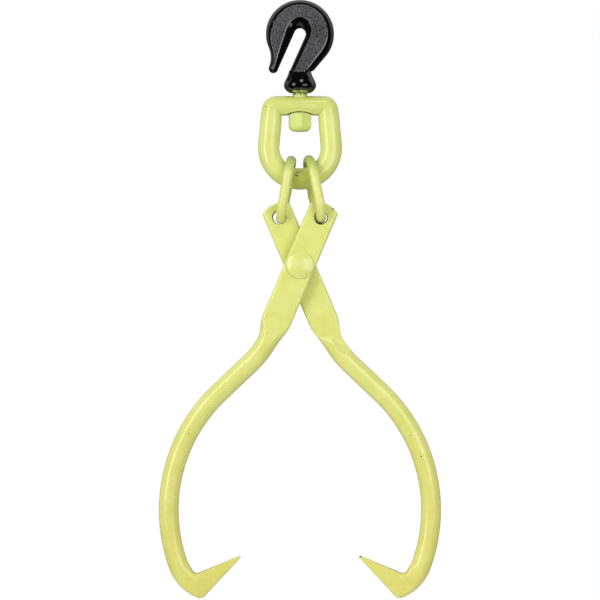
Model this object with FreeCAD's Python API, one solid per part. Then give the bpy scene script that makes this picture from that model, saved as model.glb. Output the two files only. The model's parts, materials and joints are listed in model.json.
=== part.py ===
import FreeCAD, Part
import math
import os

# Lifting tongs that hang from a swivelling grab hook. The origin is the centre of the hook's seat,
# Z is up, the tongs open in the XZ plane and the front is towards -Y.

# Driving sizes in millimetres, angles in degrees.

# Grab hook
hook_head_radius = 27.0
hook_thickness = 15.0
hook_edge_round = 3.3
slot_width = 9.1
slot_tilt = 24.0
point_radius = 3.8
point_depth = 34.0
point_waist_radius = 20.0
neck_tangent_angle = 40.0
boss_top_drop = 30.2
boss_top_radius = 8.8
boss_swell_radius = 12.7
boss_bottom_radius = 9.8
boss_height = 17.2
boss_swell_share = 0.65

# Swivel bolt
bolt_radius = 6.0
bolt_engagement = 14.0
bolt_head_across_flats = 18.0
bolt_head_height = 16.3
bolt_head_chamfer = 3.4
bolt_head_turn = 5.0
bolt_exposed = 2.1

# Swivel bail
bail_bar_radius = 8.0
bail_corner_bend = 3.0
bail_top_half_width = 22.5
bail_bow_radius = 25.0
bail_height = 33.8
bail_eye_radius = 12.0
bail_eye_inset = 0.5
spotface_depth = 3.4

# Links
link_wire_radius = 3.75
link_inner_width = 19.0
link_pitch = 47.2
link_spread = 34.0
link_twist = 8.0

# Arms
arm_half_angle = 23.0
arm_bar_radius = 8.0
flat_width = 24.0
flat_thickness = 8.5
flat_edge_round = 1.6
flat_length = 45.0
flat_end_radius = 19.4
flat_end_reach = 11.7
shoulder_length = 13.5
shoulder_width = 19.0
shoulder_rise = 0.5
shoulder_edge_round = 3.2
bar_crown_rise = 1.0
hole_reach = 41.8
link_hole_radius = 6.0
bend_radius = 75.0
bend_turn = 23.5
nose_turn = 7.0
shank_run = 34.0
sweep_radius = 130.0
sweep_turn = 66.5
bar_seam_angle = 2.0

# Claws
claw_reach = 48.6
claw_tip_drop = 9.4
claw_notch_drop = 11.5
claw_notch_step = 1.6
claw_heel_drop = 32.0
claw_heel_step = 0.4
claw_root_thickness = 14.4
claw_tip_thickness = 2.4
claw_heel_round = 5.5
claw_throat_shares = (0.55, 0.85)
claw_back_shares = (0.33, 0.67)
claw_tip_share = 0.96
claw_corner_shares = (0.85, 0.65, 0.5, 0.42, 0.38, 0.5)

# Pivot rivet
rivet_radius = 6.0
rivet_head_radius = 11.2
rivet_head_height = 5.5
rivet_tail_height = 4.5
rivet_crown_radius = 6.0
rivet_head_rim = 1.6
rivet_bulge_share = 0.72

# Clearances
thread_clearance = 0.05
swivel_clearance = 0.1
swivel_end_play = 0.05
spotface_clearance = 0.5
link_play = 0.6
link_hole_sag = 0.3
arm_gap = 0.1
rivet_clearance = 0.1
rivet_end_play = 0.05
plane_tolerance = 1e-4

# Places that follow from the driving sizes

hex_sides = 6
boss_bottom_z = -boss_top_drop - boss_height
bail_top_z = boss_bottom_z - bolt_exposed - bail_bar_radius
bail_bow_z = bail_top_z - bail_height
spotface_z = bail_top_z - bail_bar_radius + spotface_depth
bolt_head_top_z = spotface_z - swivel_end_play
bolt_corner_radius = bolt_head_across_flats / 2 / math.cos(math.pi / hex_sides)
link_centre_radius = link_inner_width / 2 + link_wire_radius
link_seat_drop = bail_bar_radius + link_play + link_wire_radius
link_seat_radius = bail_bow_radius - link_seat_drop
flat_inner_y = arm_gap / 2
flat_outer_y = flat_inner_y + flat_thickness
flat_middle_y = (flat_inner_y + flat_outer_y) / 2
arm_bar_y = flat_outer_y + bar_crown_rise - arm_bar_radius
link_top_x = link_seat_radius * math.sin(math.radians(link_spread))
link_top_z = bail_bow_z - link_seat_radius * math.cos(math.radians(link_spread))
hole_x = hole_reach * math.sin(math.radians(arm_half_angle))
link_sway = flat_middle_y * link_pitch / (link_pitch - link_seat_drop)
link_drop = math.sqrt(link_pitch ** 2 - (hole_x - link_top_x) ** 2 - link_sway ** 2)
hole_z = link_top_z - link_drop + link_hole_sag
pivot_z = hole_z - hole_reach * math.cos(math.radians(arm_half_angle))

left = -1
right = 1
axis_x = FreeCAD.Vector(1, 0, 0)
axis_y = FreeCAD.Vector(0, 1, 0)
axis_z = FreeCAD.Vector(0, 0, 1)


def at(x, z, y=0.0):
    return FreeCAD.Vector(x, y, z)


def polar(radius, angle, centre=FreeCAD.Vector(0, 0, 0)):
    turn = math.radians(angle)
    return centre + at(radius * math.cos(turn), radius * math.sin(turn))


def line(start, end):
    return Part.LineSegment(start, end).toShape()


def arc(start, middle, end):
    return Part.Arc(start, middle, end).toShape()


def arc_about(centre, radius, from_angle, to_angle):
    middle_angle = (from_angle + to_angle) / 2
    return arc(
        polar(radius, from_angle, centre),
        polar(radius, middle_angle, centre),
        polar(radius, to_angle, centre),
    )


def angle_of(offset):
    return math.degrees(math.atan2(offset.z, offset.x))


def prism(edges, low_y, high_y):
    # A flat outline in XZ, made a plate between two depths.
    face = Part.Face(Part.Wire(Part.__sortEdges__(edges)))
    face.translate(axis_y * (low_y - face.CenterOfMass.y))
    return face.extrude(axis_y * (high_y - low_y))


def merged(shapes):
    return shapes[0].fuse(shapes[1:]).removeSplitter()


def edges_on_faces(shape, depths, keep):
    # The edges that lie in a plane of constant depth and that the test accepts.
    chosen = []
    for edge in shape.Edges:
        box = edge.BoundBox
        flat = box.YLength < plane_tolerance
        in_plane = any(abs(box.YMin - depth) < plane_tolerance for depth in depths)
        if flat and in_plane and keep(edge.CenterOfMass):
            chosen.append(edge)
    return chosen


class BarWalk:
    # Round bar laid along straight runs and bends in XZ. The heading is measured from straight
    # down towards +X, and a positive bend turns that way.

    def __init__(self, place, heading, radius):
        self.place = place
        self.heading = heading
        self.radius = radius
        self.pieces = []

    def ahead(self):
        turn = math.radians(self.heading)
        return at(math.sin(turn), -math.cos(turn))

    def aside(self):
        turn = math.radians(self.heading)
        return at(math.cos(turn), math.sin(turn))

    def step(self, length):
        self.place = self.place + self.ahead() * length

    def run(self, length):
        self.pieces.append(Part.makeCylinder(self.radius, length, self.place, self.ahead()))
        self.step(length)

    def bend(self, radius, turn, solid=True):
        side = math.copysign(1.0, turn)
        centre = self.place + self.aside() * (radius * side)
        axis = axis_y * -side
        if solid:
            section = Part.Face(Part.Wire(Part.makeCircle(self.radius, self.place, self.ahead())))
            if radius < self.radius:
                section = section.common(self.outer_side(centre, side)).Faces[0]
            self.pieces.append(section.revolve(centre, axis, abs(turn)))
        swing = FreeCAD.Rotation(axis, abs(turn))
        self.place = centre + swing.multVec(self.place - centre)
        self.heading = self.heading + turn

    def outer_side(self, centre, side):
        # In a bend tighter than the bar, only the bar outside the bend's axis is turned.
        reach = 2 * self.radius
        away = self.aside() * (-side * reach)
        across = axis_y * reach
        corners = [centre + across, centre + across + away, centre - across + away, centre - across]
        return Part.Face(Part.makePolygon(corners + corners[:1]))


def hook_outline():
    # Head, waist, point, slot and neck, going round the plate as it is seen from the front.
    seat_radius = slot_width / 2
    down_slot = polar(1.0, -90.0 - slot_tilt)
    across_slot = polar(1.0, -slot_tilt)
    seat = at(0, 0)
    point_centre = down_slot * point_depth - across_slot * (seat_radius + point_radius)
    reach = point_centre.Length
    to_head = hook_head_radius + point_waist_radius
    to_point = point_radius + point_waist_radius
    swing = math.degrees(math.acos((to_head ** 2 + reach ** 2 - to_point ** 2) / (2 * to_head * reach)))
    waist_centre = polar(to_head, angle_of(point_centre) - swing)
    head_end = angle_of(waist_centre)
    point_start = angle_of(waist_centre - point_centre)
    slot_side = -slot_tilt
    waist_from = angle_of(-waist_centre)
    waist_to = angle_of(point_centre - waist_centre)
    neck_bottom_z = -boss_top_drop - boss_height / 2
    neck_top = polar(hook_head_radius, -neck_tangent_angle)
    neck_slope = polar(1.0, -90.0 - neck_tangent_angle)
    neck_right = neck_top + neck_slope * ((neck_top.z + boss_top_drop) / -neck_slope.z)
    slot_end = (boss_top_drop + across_slot.z * seat_radius) / -down_slot.z
    neck_left = across_slot * seat_radius + down_slot * slot_end
    point_seat = point_centre + across_slot * point_radius
    seat_left = across_slot * -seat_radius
    seat_right = across_slot * seat_radius
    foot_left = at(-boss_top_radius, neck_bottom_z)
    foot_right = at(boss_top_radius, neck_bottom_z)
    return [
        arc_about(seat, hook_head_radius, -neck_tangent_angle, head_end % 360.0),
        arc_about(waist_centre, point_waist_radius, waist_from, waist_to),
        arc_about(point_centre, point_radius, point_start % 360.0, slot_side + 360.0),
        line(point_seat, seat_left),
        arc_about(seat, seat_radius, 180.0 + slot_side, slot_side),
        line(seat_right, neck_left),
        line(neck_left, foot_left),
        line(foot_left, foot_right),
        line(foot_right, neck_right),
        line(neck_right, neck_top),
    ]


def make_grab_hook():
    half = hook_thickness / 2
    plate = prism(hook_outline(), -half, half)
    rim = edges_on_faces(plate, (-half, half), lambda place: place.z > -boss_top_drop)
    plate = plate.makeFillet(hook_edge_round, rim)
    boss_top = at(boss_top_radius, -boss_top_drop)
    boss_swell = at(boss_swell_radius, -boss_top_drop - boss_height * boss_swell_share)
    boss_bottom = at(boss_bottom_radius, boss_bottom_z)
    profile = [
        line(at(0, -boss_top_drop), boss_top),
        arc(boss_top, boss_swell, boss_bottom),
        line(boss_bottom, at(0, boss_bottom_z)),
        line(at(0, boss_bottom_z), at(0, -boss_top_drop)),
    ]
    boss = Part.Face(Part.Wire(profile)).revolve(at(0, 0), axis_z, 360)
    hole = Part.makeCylinder(
        bolt_radius + thread_clearance, bolt_engagement + thread_clearance, at(0, boss_bottom_z), axis_z
    )
    return merged([plate, boss]).cut(hole)


def make_swivel_bolt():
    shank_top = boss_bottom_z + bolt_engagement
    shank = Part.makeCylinder(bolt_radius, shank_top - bolt_head_top_z, at(0, bolt_head_top_z), axis_z)
    head_foot = bolt_head_top_z - bolt_head_height
    corners = []
    for corner in range(hex_sides + 1):
        turn = math.radians(360.0 / hex_sides * corner - 90.0 + bolt_head_turn)
        place = FreeCAD.Vector(math.cos(turn), math.sin(turn), 0) * bolt_corner_radius
        corners.append(place + at(0, head_foot))
    head = Part.Face(Part.makePolygon(corners)).extrude(axis_z * bolt_head_height)
    rounding = [
        at(0, bolt_head_top_z),
        at(bolt_corner_radius, bolt_head_top_z),
        at(bolt_corner_radius, head_foot + bolt_head_chamfer),
        at(bolt_corner_radius - bolt_head_chamfer, head_foot),
        at(0, head_foot),
    ]
    blank = Part.Face(Part.makePolygon(rounding + rounding[:1])).revolve(at(0, 0), axis_z, 360)
    return merged([shank, head.common(blank)])


def make_swivel_bail():
    # Half of the ring is laid from the middle of the top bar to the bottom of the bow.
    corner_reach = math.hypot(bail_top_half_width, bail_height)
    lean = math.degrees(
        math.atan2(bail_height, bail_top_half_width) - math.acos(bail_bow_radius / corner_reach)
    )
    leg_length = math.sqrt(corner_reach ** 2 - bail_bow_radius ** 2)
    corner_turn = 90.0 - lean
    corner_setback = bail_corner_bend * math.tan(math.radians(corner_turn / 2))
    half = BarWalk(at(0, bail_top_z), 90.0, bail_bar_radius)
    half.run(bail_top_half_width - corner_setback)
    half.bend(bail_corner_bend, -corner_turn)
    half.run(leg_length - corner_setback)
    half.bend(bail_bow_radius, -90.0 - lean)
    mirrored = [piece.mirror(at(0, 0), axis_x) for piece in half.pieces]
    oval = Part.Ellipse(at(0, bail_top_z), bail_eye_radius, bail_bar_radius - bail_eye_inset)
    oval.rotate(FreeCAD.Placement(at(0, bail_top_z), FreeCAD.Rotation(axis_x, 90)))
    rim = Part.Arc(oval, -math.pi / 2, math.pi / 2).toShape()
    seam = line(rim.Vertexes[0].Point, rim.Vertexes[1].Point)
    eye = Part.Face(Part.Wire([rim, seam])).revolve(at(0, 0), axis_z, 360)
    ring = merged(half.pieces + mirrored + [eye])
    bore_bottom = bail_top_z - 2 * bail_bar_radius
    bore_length = 4 * bail_bar_radius
    bore = Part.makeCylinder(bolt_radius + swivel_clearance, bore_length, at(0, bore_bottom), axis_z)
    spotface = Part.makeCylinder(
        bolt_corner_radius + spotface_clearance, spotface_z - bore_bottom, at(0, bore_bottom), axis_z
    )
    return ring.cut(bore).cut(spotface)


def make_link(side):
    # A link stands in YZ, then is twisted, leaned towards its arm and hung on the bail's bow, so that
    # the middle of the bail's bar lies on the line from the link's top to its foot.
    half_pitch = link_pitch / 2 - link_centre_radius
    section = Part.Face(
        Part.Wire(Part.makeCircle(link_wire_radius, at(0, -half_pitch, link_centre_radius), axis_z))
    )
    pieces = []
    for end in (1, -1):
        flank = Part.makeCylinder(
            link_wire_radius, 2 * half_pitch, at(0, -half_pitch, end * link_centre_radius), axis_z
        )
        pieces.append(flank)
        bow = section.revolve(at(0, -half_pitch), axis_x, -180)
        bow.rotate(at(0, 0), axis_x, 0 if end > 0 else 180)
        pieces.append(bow)
    link = merged(pieces)
    link.rotate(at(0, 0), axis_z, side * link_twist)
    top = at(side * link_top_x, link_top_z, side * (link_sway - flat_middle_y))
    foot = at(side * hole_x, hole_z - link_hole_sag, -side * flat_middle_y)
    along = (top - foot).normalize()
    link.Placement = FreeCAD.Placement((top + foot) / 2, FreeCAD.Rotation(axis_z, along)) * link.Placement
    return link


def rounded_section(centre, across, width, low_y, high_y, corner):
    # A rounded rectangle across a forging, as eight edges from its low side round.
    half = width / 2
    inner_half = half - corner
    quarter = math.sqrt(0.5) * corner

    def mark(aside, depth):
        return centre + across * aside + axis_y * depth

    corners = [
        (inner_half, low_y + corner, 1, -1),
        (inner_half, high_y - corner, 1, 1),
        (-inner_half, high_y - corner, -1, 1),
        (-inner_half, low_y + corner, -1, -1),
    ]
    edges = []
    start = mark(-inner_half, low_y)
    for number, (hub, depth, out, up) in enumerate(corners):
        ends = [mark(hub, depth + up * corner), mark(hub + out * corner, depth)]
        if number % 2:
            ends.reverse()
        edges.append(line(start, ends[0]))
        edges.append(arc(ends[0], mark(hub + out * quarter, depth + up * quarter), ends[1]))
        start = ends[1]
    return Part.Wire(edges)


def bar_section(walk):
    # The bar's circle as eight arcs, short ones facing the sides of a rounded rectangle.
    edges = []
    for quarter in range(4):
        middle = -90.0 + 90.0 * quarter
        marks = [middle - bar_seam_angle, middle, middle + bar_seam_angle, middle + 45.0,
                 middle + 90.0 - bar_seam_angle]
        places = []
        for angle in marks:
            turn = math.radians(angle)
            offset = walk.aside() * math.cos(turn) + axis_y * math.sin(turn)
            places.append(walk.place + offset * walk.radius)
        edges.append(arc(*places[:3]))
        edges.append(arc(*places[2:]))
    return Part.Wire(edges)


def make_claw(walk):
    # The point is forged out of the bar's end: sections fan round the notch and thin to the tip.
    # Each section is given from its inner to its outer edge, forward along the bar and inward.
    forward = walk.ahead()
    inward = walk.aside() * -1.0
    radius = walk.radius
    heel_across = radius + claw_heel_step
    back_rise = heel_across + radius
    back_radius = (claw_heel_drop ** 2 + back_rise ** 2) / (2 * back_rise)
    back_turn = 2 * math.atan2(back_rise, claw_heel_drop)
    notch = (claw_notch_drop, radius + claw_notch_step)

    def back(share):
        turn = back_turn * share
        return back_radius * math.sin(turn), back_radius * (1 - math.cos(turn)) - radius

    def between(start, end, share):
        return tuple(a + (b - a) * share for a, b in zip(start, end))

    heel = (claw_heel_drop, heel_across)
    tip = (claw_tip_drop, claw_reach)
    throat = (0, radius)
    edge_length = math.dist(heel, tip)
    edge = ((tip[0] - heel[0]) / edge_length, (tip[1] - heel[1]) / edge_length)
    back_end = (math.cos(back_turn), math.sin(back_turn))
    heel_turn = math.acos(edge[0] * back_end[0] + edge[1] * back_end[1])
    setback = claw_heel_round * math.tan(heel_turn / 2)
    shave = claw_heel_round * (1 / math.cos(heel_turn / 2) - 1) / (2 * math.sin(heel_turn / 2))
    rounded_heel = (heel[0] + (edge[0] - back_end[0]) * shave, heel[1] + (edge[1] - back_end[1]) * shave)
    heel_start = 1 - setback / (back_radius * back_turn)
    heel_end = setback / edge_length
    cuts = [
        (between(throat, notch, throat_share), back(heel_start * back_share), 0.0)
        for throat_share, back_share in zip(claw_throat_shares, claw_back_shares)
    ]
    cuts.append((notch, back(heel_start), 0.0))
    cuts.append((between(notch, tip, heel_end / 2), rounded_heel, heel_end / 2))
    for share in (heel_end, claw_tip_share):
        cuts.append((between(notch, tip, share), between(heel, tip, share), share))
    sections = [bar_section(walk)]
    for number, (inner, outer, share) in enumerate(cuts):
        inner_mark = walk.place + forward * inner[0] + inward * inner[1]
        outer_mark = walk.place + forward * outer[0] + inward * outer[1]
        across = outer_mark - inner_mark
        width = across.Length
        half = (claw_root_thickness + (claw_tip_thickness - claw_root_thickness) * share) / 2
        corner = min(half, width / 2) * claw_corner_shares[number]
        sections.append(
            rounded_section((inner_mark + outer_mark) / 2, across.normalize(), width, -half, half, corner)
        )
    at_notch = len(claw_throat_shares) + 1
    root = Part.makeLoft(sections[:at_notch + 1], True, False)
    point = Part.makeLoft(sections[at_notch:], True, True)
    return [root, point]


def make_arm():
    # The arm stands with its flat upright, pivot at the origin, flat towards +Y, claw towards +X.
    half = flat_width / 2
    end_centre = at(0, hole_reach + flat_end_reach - flat_end_radius)
    corner_z = end_centre.z + math.sqrt(flat_end_radius ** 2 - half ** 2)
    apex = at(0, hole_reach + flat_end_reach)
    outline = [
        line(at(-half, -flat_length), at(half, -flat_length)),
        line(at(half, -flat_length), at(half, corner_z)),
        arc(at(half, corner_z), apex, at(-half, corner_z)),
        line(at(-half, corner_z), at(-half, -flat_length)),
    ]
    plate = prism(outline, flat_inner_y, flat_outer_y)
    foot_z = -flat_length + plane_tolerance
    rim = edges_on_faces(plate, (flat_inner_y, flat_outer_y), lambda place: place.z > foot_z)
    plate = plate.makeFillet(flat_edge_round, rim)
    shoulder_z = -flat_length - shoulder_length
    walk = BarWalk(at(0, shoulder_z, arm_bar_y), 0.0, arm_bar_radius)
    walk.bend(bend_radius, nose_turn, solid=False)
    top = rounded_section(
        at(0, -flat_length), axis_x, flat_width, flat_inner_y, flat_outer_y, flat_edge_round
    )
    middle = rounded_section(
        at(0, shoulder_z), axis_x, shoulder_width, flat_inner_y, flat_outer_y + shoulder_rise,
        shoulder_edge_round,
    )
    crown = bar_section(walk)
    taper = Part.makeLoft([top, middle], True, True)
    nose = Part.makeLoft([middle, crown], True, True)
    walk.bend(bend_radius, bend_turn - nose_turn)
    walk.run(shank_run)
    walk.bend(sweep_radius, -sweep_turn)
    arm = merged([plate, taper, nose] + walk.pieces + make_claw(walk))
    reach = 4 * flat_thickness
    for radius, z in ((rivet_radius + rivet_clearance, 0.0), (link_hole_radius, hole_reach)):
        arm = arm.cut(Part.makeCylinder(radius, 2 * reach, at(0, z, -reach), axis_y))
    return arm


def hang_arm(arm, side):
    # The rear arm's claw is on the right. Turned half round, the same forging is the front arm.
    hung = arm.copy()
    hung.rotate(at(0, 0), axis_y, -arm_half_angle)
    if side == left:
        hung.rotate(at(0, 0), axis_z, 180)
    hung.translate(at(0, pivot_z))
    return hung


def rivet_head(seat_y, height, facing):
    # A domed head with a flattened crown, turned about the rivet's axis.
    def mark(radius, rise):
        return at(radius, pivot_z, seat_y + facing * rise)

    rim = mark(rivet_head_radius, rivet_head_rim)
    crown = mark(rivet_crown_radius, height)
    bulge = mark(
        (rivet_head_radius + rivet_crown_radius) / 2 + rivet_head_rim / 2,
        rivet_head_rim + (height - rivet_head_rim) * rivet_bulge_share,
    )
    profile = [
        line(mark(0, 0), mark(rivet_head_radius, 0)),
        line(mark(rivet_head_radius, 0), rim),
        arc(rim, bulge, crown),
        line(crown, mark(0, height)),
        line(mark(0, height), mark(0, 0)),
    ]
    return Part.Face(Part.Wire(profile)).revolve(at(0, pivot_z), axis_y, 360)


def make_pivot_rivet():
    front_seat = -flat_outer_y - rivet_end_play
    shank = Part.makeCylinder(rivet_radius, flat_outer_y - front_seat, at(0, pivot_z, front_seat), axis_y)
    front = rivet_head(front_seat, rivet_head_height, -1)
    back = rivet_head(flat_outer_y, rivet_tail_height, 1)
    return merged([shank, front, back])


def main():
    arm = make_arm()
    parts = {
        "grab_hook": make_grab_hook(),
        "swivel_bolt": make_swivel_bolt(),
        "swivel_bail": make_swivel_bail(),
        "left_link": make_link(left),
        "right_link": make_link(right),
        "rear_arm": hang_arm(arm, right),
        "front_arm": hang_arm(arm, left),
        "pivot_rivet": make_pivot_rivet(),
    }
    os.makedirs("parts", exist_ok=True)
    for name, shape in parts.items():
        shape.exportStep(os.path.join("parts", name + ".step"))
        print(name, len(shape.Solids), shape.isValid(), round(shape.Volume, 1))


main()
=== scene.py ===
import json
import math

import bmesh
import bpy
from mathutils import Matrix, Vector


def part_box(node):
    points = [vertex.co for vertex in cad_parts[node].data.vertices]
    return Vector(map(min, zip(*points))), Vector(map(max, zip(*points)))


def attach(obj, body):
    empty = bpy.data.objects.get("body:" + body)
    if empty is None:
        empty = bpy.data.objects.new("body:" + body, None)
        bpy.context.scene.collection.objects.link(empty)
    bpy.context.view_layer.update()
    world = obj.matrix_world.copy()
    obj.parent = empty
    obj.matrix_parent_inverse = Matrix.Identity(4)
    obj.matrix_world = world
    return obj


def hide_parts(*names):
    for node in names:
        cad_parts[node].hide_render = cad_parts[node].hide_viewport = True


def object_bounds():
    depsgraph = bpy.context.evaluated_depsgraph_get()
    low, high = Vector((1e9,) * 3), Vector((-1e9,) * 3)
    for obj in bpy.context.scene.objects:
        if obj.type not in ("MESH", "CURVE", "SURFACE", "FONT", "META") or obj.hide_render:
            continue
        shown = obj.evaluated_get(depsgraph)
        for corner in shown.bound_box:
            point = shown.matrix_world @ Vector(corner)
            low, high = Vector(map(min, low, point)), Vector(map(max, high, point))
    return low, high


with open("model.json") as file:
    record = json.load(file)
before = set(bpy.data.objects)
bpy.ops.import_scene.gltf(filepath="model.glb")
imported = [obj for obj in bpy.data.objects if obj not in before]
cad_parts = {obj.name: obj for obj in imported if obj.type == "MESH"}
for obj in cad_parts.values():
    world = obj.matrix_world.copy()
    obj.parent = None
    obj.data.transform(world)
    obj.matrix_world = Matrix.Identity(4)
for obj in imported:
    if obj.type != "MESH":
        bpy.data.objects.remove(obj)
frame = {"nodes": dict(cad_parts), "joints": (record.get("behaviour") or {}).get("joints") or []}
cadLow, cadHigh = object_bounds()
mm = 0.001  # shapes below are worked out in millimetres and scaled once at the end
joints = {joint["name"]: Vector(joint["pos_m"]) / mm for joint in frame["joints"]}
right = Vector((1, 0, 0))
deep = Vector((0, 1, 0))
up = Vector((0, 0, 1))
ringCount = 48  # points round every forged section
print("frame loaded with", len(frame["nodes"]), "nodes")


def mixed(start, end, share):
    return start + (end - start) * share


def eased(value, low, high):
    share = min(1.0, max(0.0, (value - low) / (high - low)))
    return share * share * (3 - 2 * share)


def polar(radius, angle):
    turn = math.radians(angle)
    return Vector((radius * math.cos(turn), 0, radius * math.sin(turn)))


def angleOf(offset):
    return math.degrees(math.atan2(offset.z, offset.x))


# Headings are measured from straight down towards +X
def ahead(heading):
    turn = math.radians(heading)
    return Vector((math.sin(turn), 0, -math.cos(turn)))


def aside(heading):
    turn = math.radians(heading)
    return Vector((math.cos(turn), 0, math.sin(turn)))


def stepAlong(place, heading, length, turn):
    if not turn:
        return place + ahead(heading) * length, heading
    radius = length / math.radians(turn)
    centre = place + aside(heading) * radius
    return centre - aside(heading + turn) * radius, heading + turn


def walkBar(place, heading, legs, pace):
    # legs are (length, turn); gives place, heading and distance at even paces
    frames = [(place.copy(), heading, 0.0)]
    gone = 0.0
    for length, turn in legs:
        paces = max(1, round(length / pace))
        for number in range(1, paces + 1):
            share = number / paces
            spot, facing = stepAlong(place, heading, length * share, turn * share)
            frames.append((spot, facing, gone + length * share))
        place, heading = stepAlong(place, heading, length, turn)
        gone += length
    return frames


# Section outlines: offsets across the bar and in depth
def barOutline(halfAcross, halfDeep, squareness=2.0, count=ringCount):
    points = []
    for number in range(count):
        turn = 2 * math.pi * number / count
        offsets = []
        for part, half in ((math.cos(turn), halfAcross), (math.sin(turn), halfDeep)):
            if abs(part) < 1e-9:
                part = 0.0
            offsets.append(math.copysign(abs(part) ** (2 / squareness), part) * half)
        points.append(Vector(offsets))
    return points


def plateOutline(halfAcross, halfDeep, corner):
    # a flat section with round corners, its points in step with barOutline's
    corner = min(corner, 0.9 * halfDeep, 0.9 * halfAcross)
    quarter = [(halfAcross, 0.0), (halfAcross, 0.5 * (halfDeep - corner))]
    for number in range(6):
        turn = math.pi / 2 * number / 5
        quarter.append((halfAcross - corner * (1 - math.cos(turn)), halfDeep - corner * (1 - math.sin(turn))))
    for number in range(1, 5):
        quarter.append(((halfAcross - corner) * (1 - number / 5), halfDeep))
    points = quarter + [(0.0, halfDeep)] + [(-across, depth) for across, depth in quarter[:0:-1]]
    points += [(-across, -depth) for across, depth in points]
    return [Vector(point) for point in points]


def shiftedOutline(outline, across=0.0, depth=0.0):
    return [point + Vector((across, depth)) for point in outline]


def mixedOutline(first, second, share):
    return [mixed(a, b, share) for a, b in zip(first, second)]


def softCap(value, limit, blend):
    # value held under limit, eased over the blend
    share = min(1.0, max(0.0, 0.5 + (limit - value) / (2 * blend)))
    return mixed(limit, value, share) - blend * share * (1 - share)


def setAt(middle, across, outline, depthWay=deep):
    return [middle + across * point.x + depthWay * point.y for point in outline]


# Skins: a ring is pushed from section to section and set to each one's points
def setRing(ring, points):
    for vert, point in zip(ring, points):
        vert.co = point


def ringEdges(bm, ring):
    return [bm.edges.get((vert, ring[number - 1])) for number, vert in enumerate(ring)]


def pushRing(bm, ring):
    pushed = bmesh.ops.extrude_edge_only(bm, edges=ringEdges(bm, ring))["geom"]
    fresh = {item for item in pushed if isinstance(item, bmesh.types.BMVert)}
    following = []
    for vert in ring:
        partners = [edge.other_vert(vert) for edge in vert.link_edges]
        following.append(next(partner for partner in partners if partner in fresh))
    return following


def skinBar(sections, closed=False):
    bm = bmesh.new()
    first = bmesh.ops.create_circle(bm, cap_ends=False, segments=len(sections[0]), radius=1.0)["verts"]
    ring = first
    setRing(ring, sections[0])
    for points in sections[1:]:
        ring = pushRing(bm, ring)
        setRing(ring, points)
    if closed:
        bmesh.ops.bridge_loops(bm, edges=ringEdges(bm, first) + ringEdges(bm, ring))
    else:
        bmesh.ops.contextual_create(bm, geom=first)
        bmesh.ops.contextual_create(bm, geom=ring)
    return bm


def addObject(name, data):
    added = bpy.data.objects.new(name, data)
    bpy.context.scene.collection.objects.link(added)
    return added


def makePiece(name, bm, material, crease=40.0):
    bmesh.ops.remove_doubles(bm, verts=bm.verts, dist=0.003)
    bmesh.ops.recalc_face_normals(bm, faces=bm.faces)
    bmesh.ops.scale(bm, vec=Vector((mm, mm, mm)), verts=bm.verts)
    mesh = bpy.data.meshes.new(name)
    bm.to_mesh(mesh)
    bm.free()
    mesh.materials.append(material)
    piece = addObject(name, mesh)
    smoothPiece(piece, crease)
    return piece


def smoothPiece(piece, crease):
    piece.data.shade_smooth()
    piece.data.set_sharp_from_angle(angle=math.radians(crease))


def carvePiece(piece, cutter, crease=40.0):
    # cut the cutter's shape out of the piece for good
    cut = piece.modifiers.new("cut", "BOOLEAN")
    cut.operation = "DIFFERENCE"
    cut.solver = "EXACT"
    cut.object = cutter
    graph = bpy.context.evaluated_depsgraph_get()
    carved = bpy.data.meshes.new_from_object(piece.evaluated_get(graph))
    piece.modifiers.clear()
    whole = piece.data
    piece.data = carved
    bpy.data.meshes.remove(whole)
    bpy.data.objects.remove(cutter)
    smoothPiece(piece, crease)


def evenFaces(piece):
    # large flat faces keep their own normals beside the rounded edges
    weighted = piece.modifiers.new("faceNormals", "WEIGHTED_NORMAL")
    weighted.keep_sharp = True


def fitPiece(piece, node, body):
    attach(piece, body)
    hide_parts(node)
    print("made", piece.name)


# Materials
def newMaterial(name):
    material = bpy.data.materials.new(name)
    material.use_nodes = True
    tree = material.node_tree
    return material, tree, tree.nodes["Principled BSDF"]


def addNode(tree, kind, settings=None, inputs=None):
    node = tree.nodes.new(kind)
    for name, value in (settings or {}).items():
        setattr(node, name, value)
    for name, value in (inputs or {}).items():
        socket = node.inputs[name]
        if isinstance(value, bpy.types.NodeSocket):
            tree.links.new(value, socket)
        else:
            socket.default_value = value
    return node


def coordsOf(tree, kind):
    return addNode(tree, "ShaderNodeTexCoord").outputs[kind]


def axisOf(tree, vector, axis):
    return addNode(tree, "ShaderNodeSeparateXYZ", inputs={0: vector}).outputs[axis]


def noiseOf(tree, place, scale, detail=2.0, rough=0.5):
    inputs = {"Vector": place, "Scale": scale, "Detail": detail, "Roughness": rough}
    return addNode(tree, "ShaderNodeTexNoise", inputs=inputs).outputs["Fac"]


def rangeOf(tree, value, low, high, toLow=0.0, toHigh=1.0):
    inputs = {"Value": value, "From Min": low, "From Max": high, "To Min": toLow, "To Max": toHigh}
    return addNode(tree, "ShaderNodeMapRange", inputs=inputs).outputs["Result"]


def mathOf(tree, operation, first, second=0.0):
    return addNode(tree, "ShaderNodeMath", {"operation": operation}, {0: first, 1: second}).outputs["Value"]


def vectorOf(tree, operation, first, second=(0, 0, 0)):
    node = addNode(tree, "ShaderNodeVectorMath", {"operation": operation}, {0: first, 1: second})
    return node.outputs["Value" if operation in ("DISTANCE", "LENGTH") else "Vector"]


def allOf(tree, first, *others):
    # masks and weights multiplied together
    for other in others:
        first = mathOf(tree, "MULTIPLY", first, other)
    return first


def raggedOf(tree, value, noise, low, high):
    # the value plus an amount that wavers with the noise
    return mathOf(tree, "ADD", value, rangeOf(tree, noise, 0.3, 0.7, low, high))


def numberMix(tree, share, first, second):
    return addNode(tree, "ShaderNodeMix", {"data_type": "FLOAT"}, {0: share, 2: first, 3: second}).outputs[0]


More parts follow.
